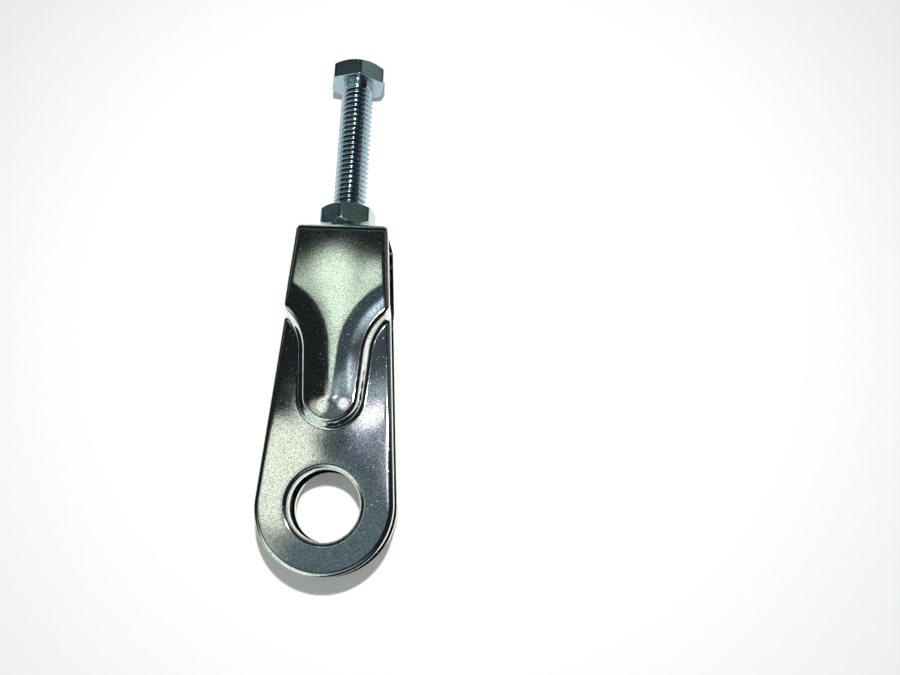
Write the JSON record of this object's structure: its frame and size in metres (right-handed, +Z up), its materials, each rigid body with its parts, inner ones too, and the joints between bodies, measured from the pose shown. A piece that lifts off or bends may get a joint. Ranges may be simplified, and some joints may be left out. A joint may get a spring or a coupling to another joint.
{
  "type": "motorcycle chain adjuster",
  "caption": "Folded steel chain adjuster: an axle eye on a U-shaped strip with a raised tongue, an adjusting bolt through its end wall and a lock nut.",
  "frame": {"origin": "centre of the axle hole, halfway between the two cheeks", "axes": "+Z up along the axle hole, +Y from the eye towards the bolt's head"},
  "size_m": [0.0242, 0.0978, 0.013],
  "materials": {
    "body": "bright chrome over pressed steel, slightly grainy",
    "bolt": "blue zinc plate",
    "nut": "blue zinc plate, darker"
  },
  "bodies": {
    "body": {"adjuster_body": "body"},
    "bolt": {"adjuster_bolt": "bolt"},
    "nut": {"lock_nut": "nut"}
  },
  "joints": [
    {"name": "bolt_travel", "type": "slide", "parent": "body", "child": "bolt", "axis": [0, 1, 0], "range_m": [-0.02, 0.004]},
    {"name": "nut_travel", "type": "slide", "parent": "body", "child": "nut", "axis": [0, 1, 0], "range_m": [0, 0.006]}
  ]
}
